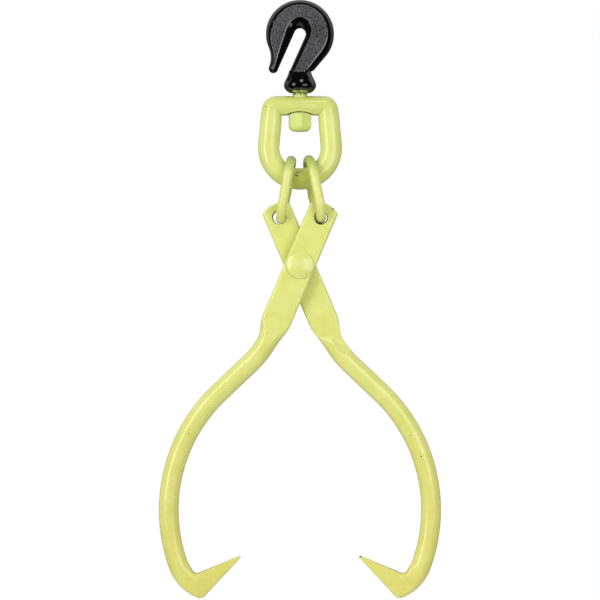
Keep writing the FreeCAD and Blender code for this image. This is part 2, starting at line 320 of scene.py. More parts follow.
def colourMix(tree, share, first, second):
    return addNode(tree, "ShaderNodeMix", {"data_type": "RGBA"}, {0: share, 6: first, 7: second}).outputs[2]


def bumpOf(tree, height, strength, distance, under=None):
    inputs = {"Height": height, "Strength": strength, "Distance": distance}
    if under:
        inputs["Normal"] = under
    return addNode(tree, "ShaderNodeBump", inputs=inputs).outputs["Normal"]


enamel = {
    # tones down the object, from the bail to the claws: height in metres and colour
    "tones": [
        (-0.44, (0.755, 0.722, 0.200, 1)),
        (-0.30, (0.755, 0.760, 0.226, 1)),
        (-0.17, (0.758, 0.790, 0.240, 1)),
        (-0.06, (0.738, 0.795, 0.245, 1)),
    ],
    # lowest and highest roughness, coat, its roughness, and how grainy the skin is
    "finishes": {
        "armEnamel": (0.21, 0.30, 0.20, 0.14, 0.03),
        "bailEnamel": (0.36, 0.48, 0.50, 0.12, 0.05),
        "wireEnamel": (0.24, 0.36, 0.35, 0.10, 0.05),
        "boltEnamel": (0.48, 0.60, 0.05, 0.20, 0.05),
        "rivetEnamel": (0.26, 0.42, 0.45, 0.14, 0.8),
    },
    "bare": (0.022, 0.021, 0.016, 1),
    "bareRough": 0.6,
    "mottle": 0.06,
    "blotchScale": 70.0,
    "lumpScale": 110.0,
    "peelScale": 420.0,
    "raggedScale": 1300.0,
    # chips in the paint: place in millimetres and size
    "chips": [
        ((-28.1, -6.0, -58.6), 0.8),
        ((-4.0, -7.84, -112.6), 0.75),
        ((-2.7, -7.19, -111.6), 0.65),
        ((-1.5, -7.59, -112.4), 0.65),
        ((-2.4, -8.32, -114.2), 0.80),
        ((-3.6, -8.28, -113.9), 0.50),
        ((26.6, -8.2, -140.6), 1.3),
        ((-89.2, -9.4, -320.7), 0.5),
        ((88.4, -6.3, -322.3), 0.5),
        ((97.3, -6.4, -339.2), 0.5),
        ((1.2, -6.0, -48.9), 0.7),
        ((48.4, -1.0, -419.6), 1.5),
    ],
}


def toneOf(tree, place):
    bottom, top = enamel["tones"][0][0], enamel["tones"][-1][0]
    level = rangeOf(tree, axisOf(tree, place, "Z"), bottom, top)
    ramp = addNode(tree, "ShaderNodeValToRGB", inputs={0: level})
    stops = ramp.color_ramp.elements
    while len(stops) < len(enamel["tones"]):
        stops.new(0.5)
    for stop, (height, tone) in zip(stops, enamel["tones"]):
        stop.position = (height - bottom) / (top - bottom)
        stop.color = tone
    return ramp.outputs["Color"]


def makeLimeEnamel(name, stainAndShade=None):
    roughLow, roughHigh, coat, coatRough, grainy = enamel["finishes"][name]
    material, tree, shader = newMaterial(name)
    place = coordsOf(tree, "Object")
    blotch = noiseOf(tree, place, enamel["blotchScale"], 3.0)
    peel = noiseOf(tree, place, enamel["peelScale"], 1.0)
    lump = noiseOf(tree, place, enamel["lumpScale"], 2.0)
    ragged = noiseOf(tree, place, enamel["raggedScale"], 2.0)
    tone = toneOf(tree, place)
    shade = {"Saturation": 1.06, "Value": 1 - enamel["mottle"], "Color": tone}
    deeper = addNode(tree, "ShaderNodeHueSaturation", inputs=shade).outputs["Color"]
    colour = colourMix(tree, rangeOf(tree, blotch, 0.35, 0.65), deeper, tone)
    if stainAndShade:
        colour = stainAndShade(tree, place, ragged, colour)
    chipped = 0.0
    for spot, size in enamel["chips"]:
        gap = vectorOf(tree, "DISTANCE", place, Vector(spot) * mm)
        reach = rangeOf(tree, ragged, 0.3, 0.7, size * mm * 0.4, size * mm * 1.3)
        chipped = mathOf(tree, "MAXIMUM", chipped, mathOf(tree, "LESS_THAN", gap, reach))
    colour = colourMix(tree, chipped, colour, enamel["bare"])
    tree.links.new(colour, shader.inputs["Base Color"])
    rough = rangeOf(tree, lump, 0.3, 0.7, roughLow, roughHigh)
    rough = mathOf(tree, "MAXIMUM", rough, allOf(tree, chipped, enamel["bareRough"]))
    tree.links.new(rough, shader.inputs["Roughness"])
    normal = bumpOf(tree, lump, 0.25, 0.0006)
    normal = bumpOf(tree, peel, grainy, 0.0003, normal)
    normal = bumpOf(tree, mathOf(tree, "SUBTRACT", 1.0, chipped), 0.4, 0.0002, normal)
    tree.links.new(normal, shader.inputs["Normal"])
    shader.inputs["Coat Weight"].default_value = coat
    shader.inputs["Coat Roughness"].default_value = coatRough
    return material


# the cone in the bail's underside that takes the bolt's head
seat = {
    "topZ": -62.1,
    "topRadius": 6.6,
    "slope": 1.5,
    "mouthZ": -66.0,
    "play": 0.7,
}


def seatRadius(z):
    return seat["topRadius"] + (seat["topZ"] - z) * seat["slope"]


# Stains and painted shade on the lime enamel, each for one kind of piece
stains = {
    "holeRim": (0.050, 0.052, 0.020, 1),
    "holeRimReach": (5.45, 5.85),
    "holeRimShifts": {"rear_arm_hang": (-0.5, 0, 0.05), "right_link_hang": (0.3, 0, -0.45)},
    "bowShadow": (0.440, 0.490, 0.062, 1),
    "bowShadowMiddle": (0, -8, -117),
    "bowShadowWeights": (0.11, 0.07, 0.085),
    "topBarShade": (0.610, 0.665, 0.150, 1),
    "seatShade": (0.020, 0.030, 0.008, 1),
    "underShade": (0.045, 0.055, 0.018, 1),
    "boltLime": (0.600, 0.690, 0.200, 1),
    "neckBlack": (0.040, 0.046, 0.026, 1),
    "rearFlankDark": (0.330, 0.370, 0.080, 1),
    "linkTopShade": (0.330, 0.385, 0.085, 1),
}


def axisReach(tree, place, middle, keep):
    # distance from a line through the middle, with only the kept axes counted
    offset = vectorOf(tree, "SUBTRACT", place, Vector(middle) * mm)
    return vectorOf(tree, "LENGTH", vectorOf(tree, "MULTIPLY", offset, keep))


def darkHoles(tree, place, ragged, colour):
    # thin dark rims round the arms' holes: painted shade of the gaps round the links' feet, partly bare metal
    # where the links rub
    inner, outer = stains["holeRimReach"]
    rim = rangeOf(tree, ragged, 0.3, 0.7, inner * mm, outer * mm)
    for joint, shift in stains["holeRimShifts"].items():
        reach = axisReach(tree, place, joints[joint] + Vector(shift), (1, 0, 1))
        colour = colourMix(tree, mathOf(tree, "LESS_THAN", reach, rim), colour, stains["holeRim"])
    return colour


# painted shade on the bail: the links' shadow on the bow, a darker top bar, the seat of the bolt's head and
# the top bar's underside
def shadedBail(tree, place, ragged, colour):
    # painted shadow of the links on the bow, where they hang in front of it
    reach = axisReach(tree, place, stains["bowShadowMiddle"], stains["bowShadowWeights"])
    reach = raggedOf(tree, reach, ragged, -0.00008, 0.00008)
    linkShadow = rangeOf(tree, reach, 0.00055, 0.00105, 1.0, 0.0)
    colour = colourMix(tree, linkShadow, colour, stains["bowShadow"])
    # painted shade: the top bar is mixed darker, as little light falls on it from above
    height = axisOf(tree, place, "Z")
    colour = colourMix(tree, rangeOf(tree, height, -0.068, -0.060, 0.0, 0.6), colour, stains["topBarShade"])
    # painted shade: the seat round the bolt's head is black, standing in for the shadowed gap between head
    # and bail
    low, high = seat["topZ"] - 10, seat["topZ"]
    cone = rangeOf(tree, height, low * mm, high * mm, seatRadius(low) * mm, seatRadius(high) * mm)
    cone = raggedOf(tree, cone, ragged, 0.0003, 0.0011)
    inside = mathOf(tree, "LESS_THAN", axisReach(tree, place, (0, 0, 0), (1, 1, 0)), cone)
    below = mathOf(tree, "LESS_THAN", height, (seat["topZ"] + 0.3) * mm)
    above = mathOf(tree, "GREATER_THAN", height, (seat["mouthZ"] - 0.5) * mm)
    colour = colourMix(tree, allOf(tree, inside, above, below), colour, stains["seatShade"])
    # painted shade: the top bar's underside is dark where it faces down
    facing = raggedOf(tree, axisOf(tree, coordsOf(tree, "Normal"), "Z"), ragged, -0.03, 0.03)
    downward = allOf(tree, rangeOf(tree, facing, -0.90, -0.96), rangeOf(tree, height, -0.068, -0.067))
    return colourMix(tree, downward, colour, stains["underShade"])


def blackedNeck(tree, place, ragged, colour):
    # the boss's black paint has run on to the bolt below it, with a softer edge than the ragged noise gives
    blotch = noiseOf(tree, place, 330.0, 2.0)
    edge = raggedOf(tree, axisOf(tree, place, "Z"), blotch, -0.0016, 0.0016)
    colour = colourMix(tree, 0.5, colour, stains["boltLime"])
    return colourMix(tree, rangeOf(tree, edge, -0.0496, -0.0478, 0.0, 0.85), colour, stains["neckBlack"])


def darkFlankShadedTop(tree, place, ragged, colour):
    # the rear flanks are mixed a little darker, and painted shade darkens the tops, which face up where
    # little light falls
    depth = raggedOf(tree, axisOf(tree, place, "Y"), ragged, -0.002, 0.002)
    colour = colourMix(tree, rangeOf(tree, depth, 0.003, 0.009, 0.0, 0.2), colour, stains["rearFlankDark"])
    shadedTop = rangeOf(tree, axisOf(tree, place, "Z"), -0.112, -0.099, 0.0, 0.9)
    return colourMix(tree, shadedTop, colour, stains["linkTopShade"])


blackPaint = {
    "gloss": (0.0018, 0.0018, 0.0020, 1),
    "faceDark": (0.030, 0.029, 0.033, 1),
    "faceLight": (0.108, 0.106, 0.116, 1),
    "pit": (0.006, 0.006, 0.007, 1),
    "creaseHighlight": (0.270, 0.268, 0.275, 1),
    "overspray": (0.420, 0.470, 0.120, 1),
    "glossRough": 0.10,
    "faceRough": 0.42,
}


def makeBlackPaint():
    material, tree, shader = newMaterial("blackPaint")
    place, facing = coordsOf(tree, "Object"), coordsOf(tree, "Normal")
    height = axisOf(tree, place, "Z")
    tilt = mathOf(tree, "ABSOLUTE", axisOf(tree, facing, "Y"))
    aboveBoss = rangeOf(tree, height, -0.0316, -0.0308)
    face = allOf(tree, rangeOf(tree, tilt, 0.989, 0.996), aboveBoss)
    # painted highlight: a thin light line along the creases that look down
    lookDown = rangeOf(tree, axisOf(tree, facing, "Z"), -0.03, -0.07)
    sideways = rangeOf(tree, mathOf(tree, "ABSOLUTE", axisOf(tree, facing, "X")), 0.06, 0.11)
    crease = allOf(tree, rangeOf(tree, tilt, 0.992, 0.984), rangeOf(tree, tilt, 0.925, 0.945))
    crease = allOf(tree, crease, lookDown, sideways, aboveBoss)
    # the faces' tone: fine scale, streaks along the forging, a ramp that makes them lighter towards the top,
    # and small pits in clusters
    scale = noiseOf(tree, place, 620.0, 4.0, 0.65)
    stretch = {"Vector": place, "Rotation": (0, 0.5, 0), "Scale": (1, 1, 0.3)}
    stretched = addNode(tree, "ShaderNodeMapping", inputs=stretch).outputs["Vector"]
    streak = allOf(tree, noiseOf(tree, stretched, 1100.0, 2.0), 0.35)
    wear = mathOf(tree, "ADD", allOf(tree, scale, 0.65), streak)
    wear = mathOf(tree, "ADD", wear, rangeOf(tree, height, -0.03, 0.025, -0.03, 0.03))
    tone = colourMix(tree, rangeOf(tree, wear, 0.36, 0.64), blackPaint["faceDark"], blackPaint["faceLight"])
    cluster = allOf(tree, noiseOf(tree, place, 75.0, 1.0), 0.35)
    pits = mathOf(tree, "ADD", noiseOf(tree, place, 780.0, 1.0), cluster)
    pitted = allOf(tree, rangeOf(tree, pits, 0.775, 0.815), face)
    # lime mist from the painted bolt on the boss's foot
    mistEdge = raggedOf(tree, height, noiseOf(tree, place, 420.0, 3.0), -0.0012, 0.0012)
    across = mathOf(tree, "ABSOLUTE", axisOf(tree, place, "X"))
    mist = allOf(tree, rangeOf(tree, mistEdge, -0.0456, -0.0468), rangeOf(tree, across, 0.0066, 0.0052))
    colour = colourMix(tree, face, blackPaint["gloss"], tone)
    for mask, paint in ((pitted, "pit"), (crease, "creaseHighlight"), (mist, "overspray")):
        colour = colourMix(tree, mask, colour, blackPaint[paint])
    tree.links.new(colour, shader.inputs["Base Color"])
    rough = numberMix(tree, face, blackPaint["glossRough"], blackPaint["faceRough"])
    tree.links.new(rough, shader.inputs["Roughness"])
    normal = bumpOf(tree, noiseOf(tree, place, 160.0, 2.0), 0.2, 0.0006)
    onBoss = rangeOf(tree, height, -0.0345, -0.0375)
    normal = bumpOf(tree, allOf(tree, scale, onBoss), 0.12, 0.0005, normal)
    normal = bumpOf(tree, allOf(tree, scale, face), 0.25, 0.0005, normal)
    normal = bumpOf(tree, mathOf(tree, "SUBTRACT", 1.0, pitted), 0.5, 0.0003, normal)
    tree.links.new(normal, shader.inputs["Normal"])
    return material


armEnamel = makeLimeEnamel("armEnamel", darkHoles)
bailEnamel = makeLimeEnamel("bailEnamel", shadedBail)
wireEnamel = makeLimeEnamel("wireEnamel", darkFlankShadedTop)
boltEnamel = makeLimeEnamel("boltEnamel", blackedNeck)
rivetEnamel = makeLimeEnamel("rivetEnamel")
blackEnamel = makeBlackPaint()
print("materials mixed")


# Grab hook: one forging skinned from the boss up the neck, round the head and down to the point
hook = {
    "headRadius": 27.4,
    "halfThick": 7.5,
    "pointHalfThick": 5.2,
    "slotWidth": 9.1,
    "slotTilt": 24.0,
    "pointRadius": 3.8,
    "pointDepth": 34.0,
    "hollowRadius": 20.0,
    "neckTangent": 40.0,
    "waistZ": -30.2,
    "waistRadius": 9.1,
    "swellZ": -41.2,
    "swellRadius": 13.0,
    "footZ": -47.4,
    "footRadius": 8.4,
    "footLip": (0.9, 0.15),  # inner share of the foot's radius, and the lip's height
    "softFrom": -46.5,
    "neckBlend": (-37.0, -31.2),
    "neckFoot": -31.0,
    "bossSpread": 1.35,
    "rim": 4.9,
    "topRim": 4.1,
    "flare": 6.3,
    "pointFlare": 2.8,
    "pointRim": 2.4,
    "neckFlare": 3.6,
    "seatFlare": 2.4,
    "ridge": 1.2,
    "rimSlopes": (30.0, 43.0),
    "rimBand": 0.46,
    "slotAngle": 44.0,
    "headCrease": 0.0,
    "legCrease": 0.5,
    "neckCrease": 1.3,
    "slotCrease": 1.4,
    "seatCrease": 0.8,
}


def hookOutline(width, halfDeep, flare, rim, creases):
    # flat faces, a soft crease, then a long rounding to the outer rim and to the slot
    half = width / 2
    room = width - hook["ridge"]
    if flare + rim > room:
        flare, rim = room * flare / (flare + rim), room * rim / (flare + rim)
    faceMiddle = (flare - rim) / 2
    faceHalf = (width - flare - rim) / 2

    def slotSide(rounding, depth):
        start = math.radians(hook["slotAngle"])
        for number in range(7):
            turn = mixed(math.pi / 2, start, number / 6)
            reach = (math.sin(turn) - math.sin(start)) / (1 - math.sin(start))
            yield rounding * reach, depth * math.cos(turn) / math.cos(start)

    def rimSide(rounding, depth):
        # an oval edge, then a narrow sloping band up to the face
        slopes = [math.tan(math.radians(angle)) for angle in hook["rimSlopes"]]
        band = min(rounding * hook["rimBand"], depth / 2)
        bandDrop = band * sum(slopes) / 2
        oval, ovalDrop = rounding - band, depth - bandDrop
        start = math.asin(slopes[1] / max(ovalDrop / oval - slopes[1], slopes[1] / 0.8))
        for number in range(5):
            turn = mixed(math.pi / 2, start, number / 4)
            reach = (math.sin(turn) - math.sin(start)) / (1 - math.sin(start))
            yield band + oval * reach, ovalDrop * math.cos(turn) / math.cos(start)
        yield band / 2, depth - band / 2 * mixed(slopes[0], sum(slopes) / 2, 0.5)
        yield 0.0, depth

    def quarter(side, rounding, soft, angle, shape):
        start = math.radians(angle)
        edge = half - rounding
        soft = min(soft, 0.6 * faceHalf)
        bend = soft / math.sin(start)
        drop = bend * (1 - math.cos(start))
        points = [(side * (edge + reach), depth) for reach, depth in shape(rounding, halfDeep - drop)]
        for share in (0.66, 0.33, 0.0):
            turn = start * share
            inward = bend * (math.sin(start) - math.sin(turn))
            points.append((side * (edge - inward), halfDeep - bend * (1 - math.cos(turn))))
        for share in (0.33, 0.67):
            points.append((mixed(side * (edge - soft), faceMiddle, share), halfDeep))
        return points

    outer = quarter(1, rim, creases[0], hook["rimSlopes"][0], rimSide)
    inner = quarter(-1, flare, creases[1], hook["slotAngle"], slotSide)
    middle = [(faceMiddle, halfDeep)]
    front = outer + middle + inner[:0:-1]
    back = [(across, -depth) for across, depth in inner + middle + outer[:0:-1]]
    return [Vector(point) for point in front + back]


def bossRadius(z):
    # hollow below the neck, full at the swell, tucked in at the foot
    if z > hook["swellZ"]:
        return mixed(hook["swellRadius"], hook["waistRadius"], eased(z, hook["swellZ"], hook["waistZ"]))
    drop = (hook["swellZ"] - z) / (hook["swellZ"] - hook["footZ"])
    return mixed(hook["swellRadius"], hook["footRadius"], drop ** 2.2)


def bossDepth(z):
    # the faces leave the neck's foot at a slant and swell into the round of the boss
    share = (z - hook["swellZ"]) / (hook["neckFoot"] - hook["swellZ"])
    if share < 0:
        return bossRadius(z)
    return mixed(hook["swellRadius"], hook["halfThick"], min(1.0, share) ** hook["bossSpread"])


def hookSections():
    slotHalf = hook["slotWidth"] / 2
    downSlot = polar(1.0, -90 - hook["slotTilt"])
    acrossSlot = polar(1.0, -hook["slotTilt"])
    head = hook["headRadius"]
    half = hook["halfThick"]
    neckCreases = hook["neckCrease"], hook["slotCrease"]
    legCreases = hook["legCrease"], hook["slotCrease"]
    sections = []

    def addBand(inner, outer, creases, halfDeep=half, flare=hook["flare"], rim=hook["rim"], plainness=0.0):
        across = outer - inner
        outline = hookOutline(across.length, halfDeep, flare, rim, creases)
        plain = barOutline(across.length / 2, halfDeep)
        outline = mixedOutline(outline, plain, plainness)
        sections.append(setAt((inner + outer) / 2, across.normalized(), outline))

    # boss, from its foot up, turning into the neck's section
    lipShare, lipHeight = hook["footLip"]
    for number in range(27):
        z = mixed(hook["footZ"], hook["waistZ"], (number / 26) ** 1.2)
        radius = bossRadius(z)
        depth = bossDepth(z)
        band = hookOutline(2 * radius, depth, hook["neckFlare"], hook["rim"], neckCreases)
        outline = mixedOutline(barOutline(radius, depth), band, eased(z, *hook["neckBlend"]))
        if number == 0:
            lip = barOutline(radius * lipShare, radius * lipShare)
            sections.append(setAt(up * z, right, lip))
            z += lipHeight
        sections.append(setAt(up * z, right, outline))

    # neck, up the slot's right side
    slotEnd = (-hook["waistZ"] + acrossSlot.z * slotHalf) / -downSlot.z
    neckTop = polar(head, -hook["neckTangent"])
    slope = polar(1.0, -90 - hook["neckTangent"])
    slopeLength = (neckTop.z - hook["waistZ"]) / -slope.z
    arcTurn = hook["neckTangent"] - hook["slotTilt"]
    arcLength = math.radians(arcTurn) * head
    for number in range(1, 15):
        share = number / 15
        inner = acrossSlot * slotHalf + downSlot * slotEnd * (1 - share)
        gone = share * (slopeLength + arcLength)
        if gone < slopeLength:
            outer = neckTop + slope * (slopeLength - gone)
        else:
            outer = polar(head, -hook["neckTangent"] + math.degrees((gone - slopeLength) / head))
        addBand(inner, outer, neckCreases, half, hook["neckFlare"])

    # head, half a turn about the seat
    for number in range(33):
        angle = -hook["slotTilt"] + 180 * number / 32
        flare = mixed(hook["neckFlare"], hook["flare"], eased(number / 32, 0.15, 0.85))
        flare += hook["seatFlare"] * math.sin(math.pi * number / 32) ** 2
        crease = mixed(hook["neckCrease"], hook["headCrease"], eased(number / 32, 0.0, 0.2))
        slotCrease = mixed(hook["slotCrease"], hook["seatCrease"], math.sin(math.pi * number / 32))
        rim = mixed(hook["topRim"], hook["rim"], abs(math.cos(math.radians(angle))))
        addBand(polar(slotHalf, angle), polar(head, angle), (crease, slotCrease), half, flare, rim)

    # left leg, down to the point
    pointCentre = downSlot * hook["pointDepth"] - acrossSlot * (slotHalf + hook["pointRadius"])
    reach = pointCentre.length
    toHead = head + hook["hollowRadius"]
    toPoint = hook["pointRadius"] + hook["hollowRadius"]
    swing = math.degrees(math.acos((toHead ** 2 + reach ** 2 - toPoint ** 2) / (2 * toHead * reach)))
    waistCentre = polar(toHead, angleOf(pointCentre) - swing)
    headStart = 180 - hook["slotTilt"]
    headTurn = angleOf(waistCentre) % 360 - headStart
    waistFrom = angleOf(-waistCentre)
    waistTurn = angleOf(pointCentre - waistCentre) - waistFrom
    headLength = math.radians(headTurn) * head
    waistLength = abs(math.radians(waistTurn)) * hook["hollowRadius"]
    pointSide = pointCentre - acrossSlot * hook["pointRadius"]
    waistEnd = waistCentre + polar(hook["hollowRadius"], waistFrom + waistTurn)
    endLength = (pointSide - waistEnd).length
    for number in range(1, 25):
        share = number / 24
        gone = share * (headLength + waistLength + endLength)
        if gone < headLength:
            outer = polar(head, headStart + math.degrees(gone / head))
        elif gone < headLength + waistLength:
            turn = math.copysign(math.degrees((gone - headLength) / hook["hollowRadius"]), waistTurn)
            outer = waistCentre + polar(hook["hollowRadius"], waistFrom + turn)
        else:
            outer = mixed(waistEnd, pointSide, (gone - headLength - waistLength) / endLength)
        inner = downSlot * hook["pointDepth"] * share - acrossSlot * slotHalf
        halfDeep = mixed(half, hook["pointHalfThick"], share)
        flare = mixed(hook["flare"], hook["pointFlare"], share)
        rim = mixed(hook["rim"], hook["pointRim"], share)
        creases = mixed(hook["headCrease"], hook["legCrease"], eased(share, 0.0, 0.3)), hook["slotCrease"]
        addBand(inner, outer, creases, halfDeep, flare, rim)

    # rounded end of the point
    for number in range(1, 8):
        turn = math.radians(86 * number / 7)
        level = pointCentre + downSlot * hook["pointRadius"] * math.sin(turn)
        spread = acrossSlot * hook["pointRadius"] * math.cos(turn)
        halfDeep = hook["pointHalfThick"] * math.cos(turn) ** 0.8
        flare, rim = hook["pointFlare"], hook["pointRim"]
        addBand(level + spread, level - spread, legCreases, halfDeep, flare, rim, number / 7)
    return sections


hookPiece = makePiece("grabHookForging", skinBar(hookSections()), blackEnamel, 28)
# the boss runs into the neck without hard edges
for edge in hookPiece.data.edges:
    levels = [hookPiece.data.vertices[corner].co.z / mm for corner in edge.vertices]
    if hook["softFrom"] < min(levels) and max(levels) < hook["neckFoot"] - 0.5:
        edge.use_edge_sharp = False
evenFaces(hookPiece)
fitPiece(hookPiece, "grab_hook", "hook")


# Arms: one forging made twice, the front one turned half round
arm = {
    "halfAngle": 23.0,
    "barRadius": 8.0,
    "flatHalfWidth": 12.0,
    "flatIn": 0.05,
    "flatOut": 8.55,
    "flatLength": 45.0,
    "edgeRound": 2.5,
    "endRadius": 19.4,
    "endReach": 11.7,
    "holeReach": 41.8,
    "holeRadius": 5.35,
    "holeBevel": 0.3,
    "crownRise": 1.0,
    "shoulder": 13.5,
    "narrowing": (2.0, 24.0),
    "rounding": (5.0, 17.0),
    "crownRamp": (21.5, 2.0, 0.3),  # where the outer flat's V ends, its slant and its rise
    "noseEnd": 18.0,  # where the inner flat runs out, at its middle
    "noseSlants": (0.72, 1.35),  # of the facet's upper and lower line
    "noseLean": 2.5,  # how much steeper these lines are on the claw's side
    "noseBand": 8.2,  # length of the facet at the middle
    "noseRises": (0.45, 0.6),  # on the facet, and added below it
    "rampBlends": (0.2, 0.4),
    "bend": (75.0, 23.5),
    "shank": 34.0,
    "sweep": (130.0, -66.5),
    "pace": 1.6,
}
claw = {
    "reach": 53.0,
    "tipDrop": 9.4,
    "notchDrop": 11.5,
    "notchStep": 1.6,
    "notchRound": 4.5,
    "heelDrop": 32.0,
    "heelStep": 0.4,
    "heelRound": 6.2,
    "rootHalf": 7.2,
    "tipHalf": 1.0,
    "squareness": 4.6,
    "tipSquareness": 2.6,
    "backFlatness": 0.55,
    "tipShare": 0.870,
    "bluntCuts": [(0.888, 0.90), (0.899, 0.72), (0.905, 0.45)],  # share of the way to the tip, and width
}


def cornerCurve(start, corner, end, share):
    return mixed(mixed(start, corner, share), mixed(corner, end, share), share)


def clawSections(place, heading, barDepth):
    # each cut runs from the inner edge to the outer one, fanning round the notch
    forward, inward = ahead(heading), -aside(heading)
    radius = arm["barRadius"]
    throat = Vector((0, radius))
    notch = Vector((claw["notchDrop"], radius + claw["notchStep"]))
    tip = Vector((claw["tipDrop"], claw["reach"]))
    heel = Vector((claw["heelDrop"], radius + claw["heelStep"]))
    backRise = heel.y + radius
    backRadius = (heel.x ** 2 + backRise ** 2) / (2 * backRise)
    backTurn = 2 * math.atan2(backRise, heel.x)

    def back(share):
        turn = backTurn * share
        return Vector((backRadius * math.sin(turn), backRadius * (1 - math.cos(turn)) - radius))

    lowerEdge = (tip - heel).normalized()
    heelTurn = math.acos(lowerEdge.dot(Vector((math.cos(backTurn), math.sin(backTurn)))))
    heelSetback = claw["heelRound"] * math.tan(heelTurn / 2)
    backShare = 1 - heelSetback / (backRadius * backTurn)
    heelTo = heel + lowerEdge * heelSetback
    upperEdge = (tip - notch).normalized()
    throatEdge = (notch - throat).normalized()
    notchSetback = claw["notchRound"] * math.tan(math.acos(upperEdge.dot(throatEdge)) / 2)
    notchFrom = notch - throatEdge * notchSetback
    notchTo = notch + upperEdge * notchSetback

    cuts = []  # inner point, outer point, flatness, thinness
    for number in range(1, 9):
        share = number / 8
        flatness = claw["backFlatness"] * eased(share, 0, 1)
        cuts.append((mixed(throat, notchFrom, share), back(share * backShare), flatness, 0.0))
    for number in range(1, 11):
        share = number / 10
        inner = cornerCurve(notchFrom, notch, notchTo, share)
        outer = cornerCurve(back(backShare), heel, heelTo, share)
        cuts.append((inner, outer, mixed(claw["backFlatness"], 1.0, share), 0.0))
    for number in range(1, 19):
        share = number / 18 * claw["tipShare"]
        cuts.append((mixed(notchTo, tip, share), mixed(heelTo, tip, share), 1.0, share))
    for share, width in claw["bluntCuts"]:
        middle = mixed((notchTo + heelTo) / 2, tip, share)
        spread = (heelTo - notchTo) / 2 * (1 - share) * width
        cuts.append((middle - spread, middle + spread, 1.0, share))

    sections = []
    for inner, outer, flatness, thinness in cuts:
        innerSpot = place + forward * inner.x + inward * inner.y
        outerSpot = place + forward * outer.x + inward * outer.y
        across = outerSpot - innerSpot
        halfDeep = mixed(mixed(radius, claw["rootHalf"], flatness), claw["tipHalf"], thinness)
        squareness = mixed(mixed(2.0, claw["squareness"], flatness), claw["tipSquareness"], thinness ** 2)
        outline = barOutline(across.length / 2, halfDeep, squareness)
        outline = shiftedOutline(outline, 0.0, barDepth * (1 - flatness))
        sections.append(setAt((innerSpot + outerSpot) / 2, across.normalized(), outline))
    return sections


def crownRamp(gone, across):
    # the outer flat runs out in a V: its sides start to rise before its middle
    end, slant, slope = arm["crownRamp"]
    return slope * max(0.0, gone - end + slant * abs(across))


def noseRamp(gone, across):
    # the inner flat ends in a slanted facet that widens from one edge to the middle
    lean = across if across < 0 else arm["noseLean"] * across
    upper, lower = arm["noseSlants"]
    start = gone - arm["noseEnd"]
    gentle, steep = arm["noseRises"]
    return gentle * max(0.0, start - upper * lean) + steep * max(0.0, start - arm["noseBand"] - lower * lean)


def armSections():
    # upright, with the rivet at the origin and the claw to the right
    sections = []
    half = arm["flatHalfWidth"]
    flatMiddle = (arm["flatIn"] + arm["flatOut"]) / 2
    flatHalf = (arm["flatOut"] - arm["flatIn"]) / 2
    barDepth = arm["flatOut"] + arm["crownRise"] - arm["barRadius"]

    def flatOutline(width, halfDeep=flatHalf):
        return shiftedOutline(plateOutline(width, halfDeep, arm["edgeRound"]), 0.0, flatMiddle)

    # the rounded end above the link hole
    endTop = arm["holeReach"] + arm["endReach"]
    endCentre = endTop - arm["endRadius"]
    endTurn = math.asin(half / arm["endRadius"])
    for number in range(1, 19):
        turn = endTurn * (number / 18) ** 1.3
        level = endCentre + arm["endRadius"] * math.cos(turn)
        depth = min(1.0, (endTop - level) / arm["edgeRound"])
        halfDeep = flatHalf - arm["edgeRound"] * (1 - math.sqrt(1 - (1 - depth) ** 2))
        outline = flatOutline(arm["endRadius"] * math.sin(turn), halfDeep)
        sections.append(setAt(up * level, right, outline))
    for number in range(1, 31):
        place = up * mixed(level, -arm["flatLength"], number / 30)
        sections.append(setAt(place, right, flatOutline(half)))

    # shoulder, nose and round bar
    bendRadius, bendTurn = arm["bend"]
    sweepRadius, sweepTurn = arm["sweep"]
    crownBlend, noseBlend = arm["rampBlends"]
    legs = [
        (arm["shoulder"], 0.0),
        (bendRadius * math.radians(bendTurn), bendTurn),
        (arm["shank"], 0.0),
        (sweepRadius * math.radians(abs(sweepTurn)), sweepTurn),
    ]
    for place, heading, gone in walkBar(place, 0.0, legs, arm["pace"])[1:]:
        width = mixed(half, arm["barRadius"], eased(gone, *arm["narrowing"]))
        bar = shiftedOutline(barOutline(width, arm["barRadius"]), 0.0, barDepth)
        for point in bar:
            point.y = softCap(point.y, arm["flatOut"] + crownRamp(gone, point.x), crownBlend)
            point.y = -softCap(-point.y, -arm["flatIn"] + noseRamp(gone, point.x), noseBlend)
        outline = mixedOutline(flatOutline(width), bar, eased(gone, *arm["rounding"]))
        sections.append(setAt(place, aside(heading), outline))
    return sections + clawSections(place, heading, barDepth)


def roundSections(middle, axis, profile, count=64):
    # profile is a list of (radius, distance along the axis)
    other = axis.cross(right)
    sections = []
    for radius, along in profile:
        sections.append(setAt(middle + axis * along, right, barOutline(radius, radius, 2.0, count), other))
    return sections


def roundPlug(name, middle, axis, profile):
    return makePiece(name, skinBar(roundSections(middle, axis, profile)), armEnamel)


def softenRim(piece, middle, radius, offset):
    # bevel the edges of a round hole along the depth
    bm = bmesh.new()
    bm.from_mesh(piece.data)
    rim = []
    for edge in bm.edges:
        reaches = [math.hypot(v.co.x - middle.x * mm, v.co.z - middle.z * mm) for v in edge.verts]
        level = abs(edge.verts[0].co.y - edge.verts[1].co.y) < 0.1 * mm
        if level and all(abs(reach - radius * mm) < 0.01 * mm for reach in reaches):
            rim.append(edge)
    bmesh.ops.bevel(bm, geom=rim, offset=offset * mm, segments=3, profile=0.5, affect="EDGES", material=-1)
    bm.to_mesh(piece.data)
    bm.free()


